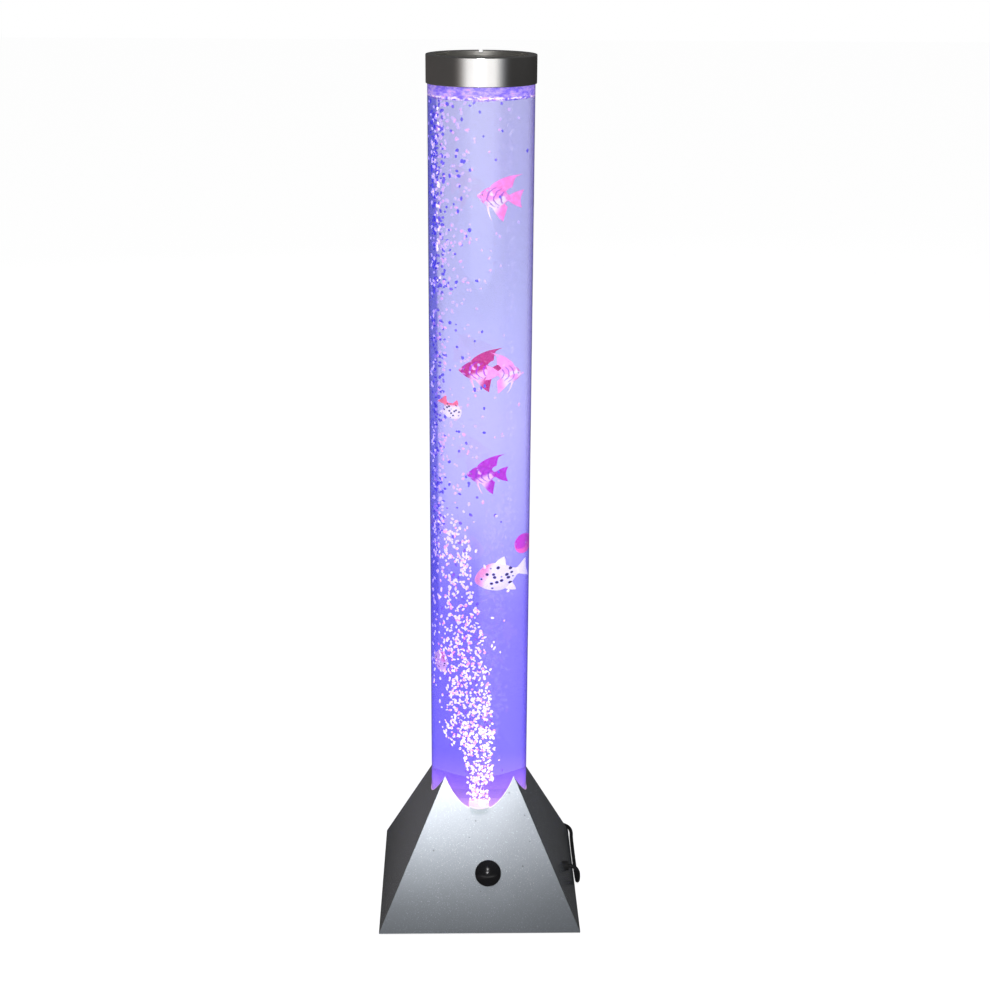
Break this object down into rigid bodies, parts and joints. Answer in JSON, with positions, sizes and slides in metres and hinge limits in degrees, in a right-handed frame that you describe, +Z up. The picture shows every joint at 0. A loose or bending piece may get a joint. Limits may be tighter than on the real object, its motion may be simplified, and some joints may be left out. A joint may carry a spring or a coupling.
{
  "type": "bubble tube floor lamp",
  "caption": "Floor lamp with a clear upright water tube on a four-sided tapered base, an air pump and colour lights inside, loose toy fish and a lift-off cap.",
  "frame": {"origin": "on the floor under the middle of the feet", "axes": "+Z up along the tube; -Y towards the face with the button; +X towards the face where the cord leaves"},
  "size_m": [0.2125, 0.2824, 0.8699],
  "materials": {
    "silver_housing": "silver paint with a fine dark grain",
    "dark_plate": "matt",
    "foot_rubber": "matt",
    "screw_steel": "plated",
    "clear_acrylic": "clear and polished",
    "white_plastic": "satin",
    "nozzle_plastic": "milky",
    "air_stone": "porous",
    "clear_hose": "soft and slightly milky",
    "circuit_board": "satin",
    "lamp_lens": "clear over a violet glow",
    "component_black": "matt",
    "button_black": "glossy",
    "holder_plastic": "matt",
    "pump_plastic": "matt",
    "core_steel": "rough",
    "copper": "lacquered",
    "wire_red": "satin",
    "cap_metal": "brushed round its axis",
    "fish_pink": "soft and glossy",
    "fish_red": "soft and glossy",
    "fish_magenta": "soft and glossy",
    "fish_spotted": "soft and glossy with dark spots",
    "fish_purple": "soft and glossy",
    "cord_black": "satin",
    "adapter_black": "fine grain",
    "pin_metal": "nickel plated"
  },
  "bodies": {
    "lamp": {"base_housing": "silver_housing", "bottom_plate": "dark_plate", "rubber_feet": "foot_rubber", "base_screws": "screw_steel", "tube": "clear_acrylic", "tube_floor": "clear_acrylic", "tube_cradle": "white_plastic", "cradle_screws": "screw_steel", "air_nozzle": "nozzle_plastic", "nozzle_seal": "foot_rubber", "nozzle_nut": "white_plastic", "air_stone": "air_stone", "air_elbow": "white_plastic", "upper_air_hose": "clear_hose", "check_valve": "white_plastic", "lower_air_hose": "clear_hose", "light_board": "circuit_board", "lamps": "lamp_lens", "light_board_screws": "screw_steel", "control_board": "circuit_board", "board_components": "component_black", "board_screws": "screw_steel", "button_spring": "screw_steel", "button_holder": "holder_plastic", "holder_screws": "screw_steel", "push_switch": "component_black", "switch_board": "circuit_board", "pump_case": "pump_plastic", "pump_lid": "pump_plastic", "pump_feet": "foot_rubber", "pump_lid_screws": "screw_steel", "pump_core": "core_steel", "pump_coil": "copper", "pump_pivot_pin": "screw_steel", "pump_diaphragm": "foot_rubber", "pump_valve_head": "white_plastic", "pump_wires": "wire_red", "light_wires": "wire_red", "switch_wires": "wire_red", "supply_wires": "wire_red", "cord_gland": "cord_black", "supply_cord": "cord_black", "cord_coil": "cord_black", "cord_tie": "cord_black", "adapter_body": "adapter_black", "adapter_pins": "pin_metal"},
    "button": {"button_cap": "button_black"},
    "pump_swing_arm": {"pump_arm": "white_plastic", "pump_magnet": "core_steel"},
    "cap": {"top_cap": "cap_metal", "cap_insert": "holder_plastic"},
    "pink_angelfish_upper_body": {"pink_angelfish_upper": "fish_pink"},
    "pink_angelfish_middle_body": {"pink_angelfish_middle": "fish_pink"},
    "red_angelfish_body": {"red_angelfish": "fish_red"},
    "magenta_angelfish_body": {"magenta_angelfish": "fish_magenta"},
    "spotted_puffer_large_body": {"spotted_puffer_large": "fish_spotted"},
    "spotted_puffer_left_body": {"spotted_puffer_left": "fish_spotted"},
    "spotted_puffer_lower_body": {"spotted_puffer_lower": "fish_spotted"},
    "purple_discus_body": {"purple_discus": "fish_purple"}
  },
  "joints": [
    {"name": "button_press", "type": "slide", "parent": "lamp", "child": "button", "axis": [0, 0.9045, -0.4265], "range_m": [0, 0.0025], "stiffness_N_per_m": 160, "springref_m": -0.002, "deforming": ["button_spring"]},
    {"name": "pump_arm_swing", "type": "hinge", "parent": "lamp", "child": "pump_swing_arm", "pos_m": [-0.018, -0.0154, 0.028], "axis": [0, 0, 1], "range_deg": [-2, 2], "stiffness_Nm_per_rad": 0.04, "deforming": ["pump_diaphragm"]},
    {"name": "cap_lift", "type": "slide", "parent": "lamp", "child": "cap", "axis": [0, 0, 1], "range_m": [0, 0.04]},
    {"name": "pink_angelfish_upper_drift", "type": "slide", "parent": "lamp", "child": "pink_angelfish_upper_body", "axis": [0, 0, 1], "range_m": [-0.06, 0.06], "stiffness_N_per_m": 1.5, "springref_m": 0.01026},
    {"name": "pink_angelfish_middle_drift", "type": "slide", "parent": "lamp", "child": "pink_angelfish_middle_body", "axis": [0, 0, 1], "range_m": [-0.03, 0.06], "stiffness_N_per_m": 1.5, "springref_m": 0.009},
    {"name": "red_angelfish_drift", "type": "slide", "parent": "lamp", "child": "red_angelfish_body", "axis": [0, 0, 1], "range_m": [-0.03, 0.06], "stiffness_N_per_m": 1.5, "springref_m": 0.00785},
    {"name": "magenta_angelfish_drift", "type": "slide", "parent": "lamp", "child": "magenta_angelfish_body", "axis": [0, 0, 1], "range_m": [-0.035, 0.03], "stiffness_N_per_m": 1.5, "springref_m": 0.0068},
    {"name": "spotted_puffer_large_drift", "type": "slide", "parent": "lamp", "child": "spotted_puffer_large_body", "axis": [0, 0, 1], "range_m": [-0.1, 0.03], "stiffness_N_per_m": 1.5, "springref_m": 0.03934},
    {"name": "spotted_puffer_left_drift", "type": "slide", "parent": "lamp", "child": "spotted_puffer_left_body", "axis": [0, 0, 1], "range_m": [-0.1, 0.1], "stiffness_N_per_m": 1.5, "springref_m": 0.00598},
    {"name": "spotted_puffer_lower_drift", "type": "slide", "parent": "lamp", "child": "spotted_puffer_lower_body", "axis": [0, 0, 1], "range_m": [-0.1, 0.1], "stiffness_N_per_m": 1.5, "springref_m": 0.0074},
    {"name": "purple_discus_drift", "type": "slide", "parent": "lamp", "child": "purple_discus_body", "axis": [0, 0, 1], "range_m": [-0.1, 0.1], "stiffness_N_per_m": 1.5, "springref_m": 0.00743}
  ]
}
